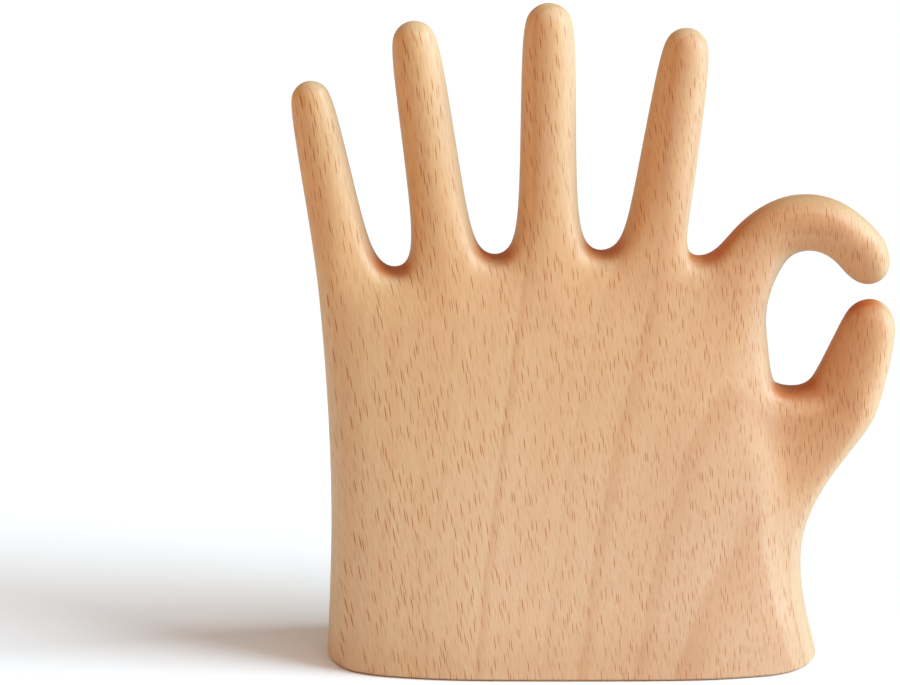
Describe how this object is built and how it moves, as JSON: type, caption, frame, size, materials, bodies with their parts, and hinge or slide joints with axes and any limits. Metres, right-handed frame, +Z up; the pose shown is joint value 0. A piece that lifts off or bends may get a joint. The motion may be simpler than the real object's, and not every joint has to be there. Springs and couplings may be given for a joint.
{
  "type": "hand jewelry stand",
  "caption": "Carved beech hand that stands upright to hold jewelry: straight fingers for rings, a hooked finger and thumb for chains and bangles, felt under its foot.",
  "frame": {"origin": "middle of the felt pad's underside, under the middle of the foot", "axes": "+Z up along the fingers, -Y to the front, +X towards the hooked finger and the thumb"},
  "size_m": [0.1687, 0.0518, 0.1881],
  "materials": {
    "beech": "sanded and lightly oiled",
    "felt": "pressed felt"
  },
  "bodies": {
    "root": {"hand": "beech", "felt_pad": "felt"}
  },
  "joints": []
}
